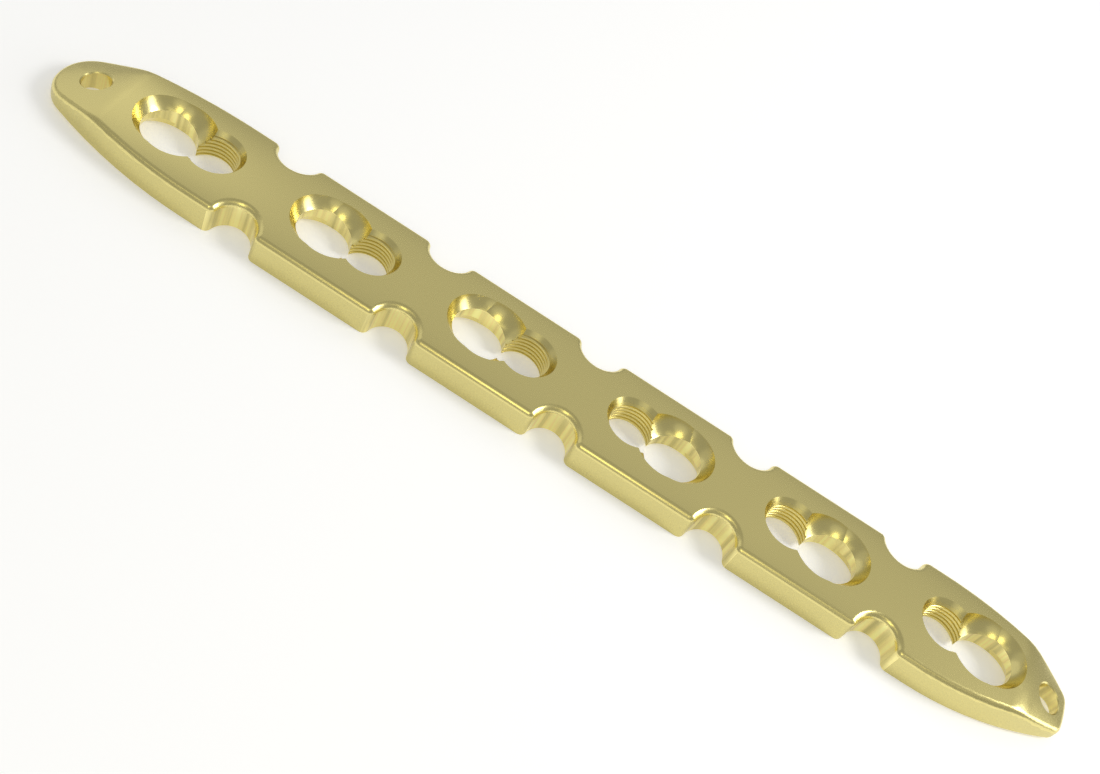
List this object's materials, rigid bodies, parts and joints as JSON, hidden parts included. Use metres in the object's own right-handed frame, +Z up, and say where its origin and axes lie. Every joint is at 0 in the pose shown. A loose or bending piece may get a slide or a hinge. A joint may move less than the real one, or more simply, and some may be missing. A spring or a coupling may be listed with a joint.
{
  "type": "orthopedic bone plate",
  "caption": "Narrow locking compression bone plate with a row of combination screw holes, scalloped edges and a wire hole in each tapered tip.",
  "frame": {"origin": "middle of the row of screw holes, on the long axis, in the plane on which the two long lower edges rest", "axes": "+X along the plate towards its shorter tip, +Y across it, +Z up from the bone through the crowned face"},
  "size_m": [0.1168, 0.0126, 0.0038],
  "materials": {
    "anodised_titanium": "satin, gold anodised"
  },
  "bodies": {
    "root": {"bone_plate": "anodised_titanium"}
  },
  "joints": []
}
